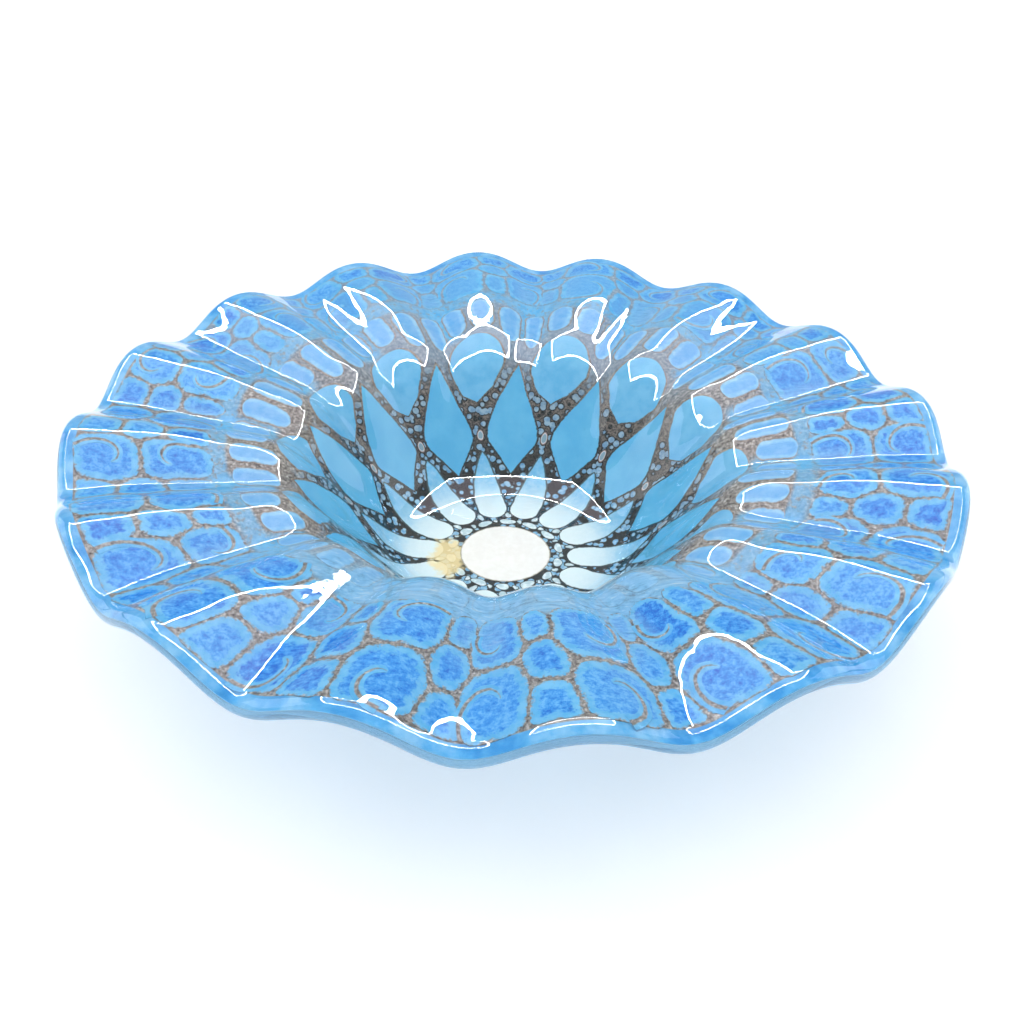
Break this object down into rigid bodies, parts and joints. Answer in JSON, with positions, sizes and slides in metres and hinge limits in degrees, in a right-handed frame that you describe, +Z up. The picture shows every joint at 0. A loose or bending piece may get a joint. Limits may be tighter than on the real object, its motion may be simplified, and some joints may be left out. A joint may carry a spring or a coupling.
{
  "type": "fluted fused-glass bowl",
  "caption": "Round decorative bowl of slumped glass with a fluted rim, a deep well and an inlaid rosette between two fused sheets.",
  "frame": {"origin": "centre of the flat foot, on the surface that the bowl stands on", "axes": "+Z up along the axis of the bowl; the picture looks from -Y; a ridge of the flange and a petal of the rosette share one direction 74.5 degrees from +X"},
  "size_m": [0.23, 0.23, 0.052],
  "materials": {
    "blue_glass": "glossy, transparent blue",
    "clear_glass": "glossy, clear",
    "white_enamel": "opaque off-white enamel under glass",
    "ice_enamel": "opaque ice-blue enamel under glass",
    "sky_enamel": "opaque sky-blue enamel under glass",
    "deep_enamel": "mottled deep blue enamel under glass"
  },
  "bodies": {
    "root": {"base_glass": "blue_glass", "cover_glass": "clear_glass", "centre_disc": "white_enamel", "pebble_ring": "ice_enamel", "petal_panes": "ice_enamel", "diamond_panes": "sky_enamel", "arch_panes": "sky_enamel", "bar_panes": "ice_enamel", "rim_panes": "deep_enamel"}
  },
  "joints": []
}
